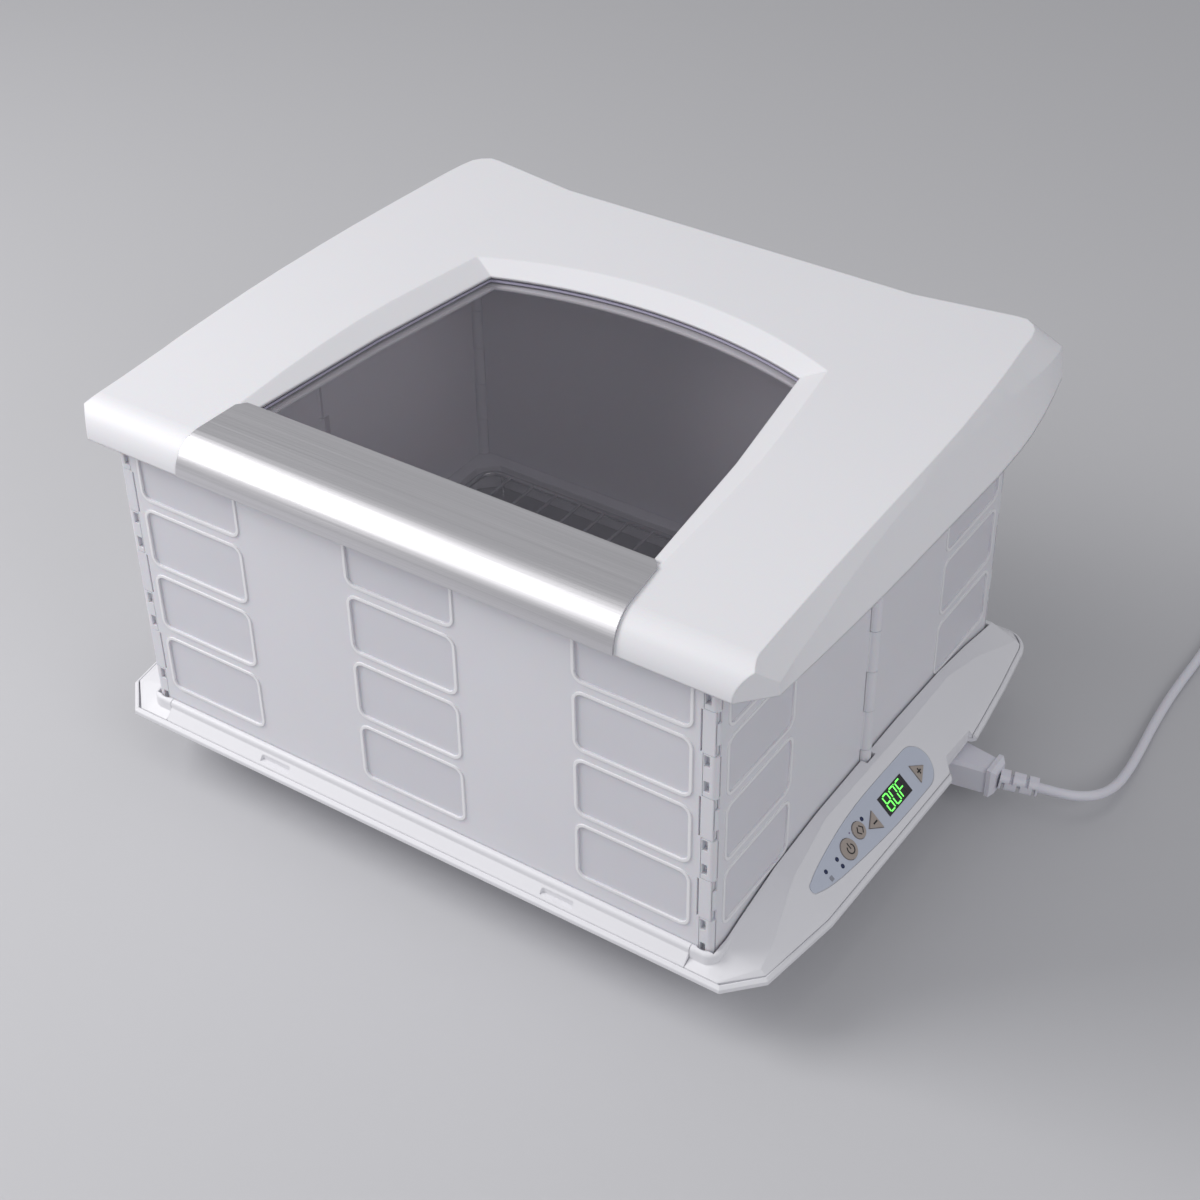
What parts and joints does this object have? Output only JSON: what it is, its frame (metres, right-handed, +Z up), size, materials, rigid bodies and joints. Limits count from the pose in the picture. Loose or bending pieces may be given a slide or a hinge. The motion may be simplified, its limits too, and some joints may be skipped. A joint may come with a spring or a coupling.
{
  "type": "folding dough proofer",
  "caption": "Countertop folding proofer with hinged cell-patterned walls, a lift-off windowed lid, a heated base with a digital control face and a detachable lead.",
  "frame": {"origin": "centre of the bounding box at the underside of the feet, the lead left out", "axes": "+Z up; -Y towards the front wall and the lid's handle strip; +X towards the control face and the mains inlet"},
  "size_m": [0.6206, 0.5617, 0.2659],
  "materials": {
    "white_abs": "satin",
    "wall_plastic": "slightly translucent satin",
    "base_plastic": "satin",
    "dark_inside": "matte",
    "rubber_foot": "matte",
    "steel": "brushed",
    "bright_steel": "polished",
    "plate_metal": "satin",
    "element_wire": "satin",
    "insulation": "felted",
    "brass": "satin",
    "tray_metal": "satin",
    "overlay_film": "satin film",
    "display_black": "gloss",
    "digit_green": "lit",
    "button_taupe": "satin",
    "lamp": "gloss",
    "circuit": "satin",
    "component_dark": "satin",
    "copper": "satin",
    "wire_insulation": "satin",
    "window_clear": "clear",
    "gasket_soft": "matte",
    "cord_white": "satin",
    "tie_black": "satin"
  },
  "bodies": {
    "base": {"base_housing": "base_plastic", "base_cover": "base_plastic", "front_strip": "base_plastic", "front_left_foot": "rubber_foot", "front_right_foot": "rubber_foot", "rear_left_foot": "rubber_foot", "rear_right_foot": "rubber_foot", "housing_screws": "steel", "heating_plate": "plate_metal", "heating_element": "element_wire", "insulation_pad": "insulation", "temperature_sensor": "brass", "thermal_cutoff": "component_dark", "control_overlay": "overlay_film", "display_lens": "display_black", "display_digits": "digit_green", "display_module": "component_dark", "indicator_lamps": "lamp", "control_board": "circuit", "tact_switches": "component_dark", "inlet_socket": "component_dark", "inlet_pins": "brass", "power_board": "circuit", "transformer": "copper", "capacitor": "component_dark", "relay": "component_dark", "inlet_wires": "wire_insulation"},
    "tray": {"water_tray": "tray_metal"},
    "rack": {"wire_rack": "bright_steel"},
    "front_wall": {"front_panel": "wall_plastic", "front_left_hinge_pin": "steel", "front_right_hinge_pin": "steel"},
    "right_front_wall": {"right_front_panel": "wall_plastic", "mid_right_hinge_pin": "steel"},
    "right_rear_wall": {"right_rear_panel": "wall_plastic"},
    "rear_wall": {"rear_panel": "wall_plastic", "rear_left_hinge_pin": "steel", "rear_right_hinge_pin": "steel"},
    "left_front_wall": {"left_front_panel": "wall_plastic", "mid_left_hinge_pin": "steel"},
    "left_rear_wall": {"left_rear_panel": "wall_plastic"},
    "lid": {"lid_shell": "white_abs", "lid_liner": "white_abs", "lid_screws": "steel", "outer_window": "window_clear", "inner_window": "window_clear", "window_gasket": "gasket_soft", "handle_strip": "steel"},
    "power_button": {"power_button": "button_taupe"},
    "mode_button": {"mode_button": "button_taupe"},
    "minus_button": {"minus_button": "button_taupe"},
    "plus_button": {"plus_button": "button_taupe"},
    "cord_set": {"cord_connector": "cord_white", "strain_relief": "cord_white", "power_cord": "cord_white", "cord_coil": "cord_white", "cord_tie": "tie_black", "cord_tail": "cord_white", "mains_plug": "cord_white", "plug_blades": "brass"}
  },
  "joints": [
    {"name": "frame_lift", "type": "slide", "parent": "base", "child": "front_wall", "axis": [0, 0, 1], "range_m": [0, 0.2]},
    {"name": "lid_lift", "type": "slide", "parent": "front_wall", "child": "lid", "axis": [0, 0, 1], "range_m": [0, 0.12]},
    {"name": "right_front_fold", "type": "hinge", "parent": "front_wall", "child": "right_front_wall", "pos_m": [0.1893, -0.1623, 0.051], "axis": [0, 0, 1], "range_deg": [0, 90]},
    {"name": "right_mid_fold", "type": "hinge", "parent": "right_front_wall", "child": "right_rear_wall", "pos_m": [0.1957, -0.003, 0.051], "axis": [0, 0, 1], "range_deg": [-180, 0]},
    {"name": "rear_fold", "type": "hinge", "parent": "right_rear_wall", "child": "rear_wall", "pos_m": [0.1893, 0.1563, 0.051], "axis": [0, 0, 1], "range_deg": [0, 90]},
    {"name": "left_front_fold", "type": "hinge", "parent": "front_wall", "child": "left_front_wall", "pos_m": [-0.1893, -0.1623, 0.051], "axis": [0, 0, 1], "range_deg": [-90, 0]},
    {"name": "left_mid_fold", "type": "hinge", "parent": "left_front_wall", "child": "left_rear_wall", "pos_m": [-0.1957, -0.003, 0.051], "axis": [0, 0, 1], "range_deg": [0, 180]},
    {"name": "tray_lift", "type": "slide", "parent": "base", "child": "tray", "axis": [0, 0, 1], "range_m": [0, 0.03]},
    {"name": "rack_lift", "type": "slide", "parent": "tray", "child": "rack", "axis": [0, 0, 1], "range_m": [0, 0.12]},
    {"name": "power_press", "type": "slide", "parent": "base", "child": "power_button", "axis": [-0.6689, 0.0124, -0.7432], "range_m": [0, 0.0008], "stiffness_N_per_m": 400},
    {"name": "mode_press", "type": "slide", "parent": "base", "child": "mode_button", "axis": [-0.6689, 0.0124, -0.7432], "range_m": [0, 0.0008], "stiffness_N_per_m": 400},
    {"name": "minus_press", "type": "slide", "parent": "base", "child": "minus_button", "axis": [-0.6689, 0.0124, -0.7432], "range_m": [0, 0.0008], "stiffness_N_per_m": 400},
    {"name": "plus_press", "type": "slide", "parent": "base", "child": "plus_button", "axis": [-0.6689, 0.0124, -0.7432], "range_m": [0, 0.0008], "stiffness_N_per_m": 400},
    {"name": "cord_pull", "type": "slide", "parent": "base", "child": "cord_set", "axis": [1, 0, 0], "range_m": [0, 0.025]}
  ],
  "couplings": [
    {"joint": "right_mid_fold", "follows": "right_front_fold", "ratio": -2},
    {"joint": "rear_fold", "follows": "right_front_fold", "ratio": 1},
    {"joint": "left_front_fold", "follows": "right_front_fold", "ratio": -1},
    {"joint": "left_mid_fold", "follows": "right_front_fold", "ratio": 2}
  ]
}
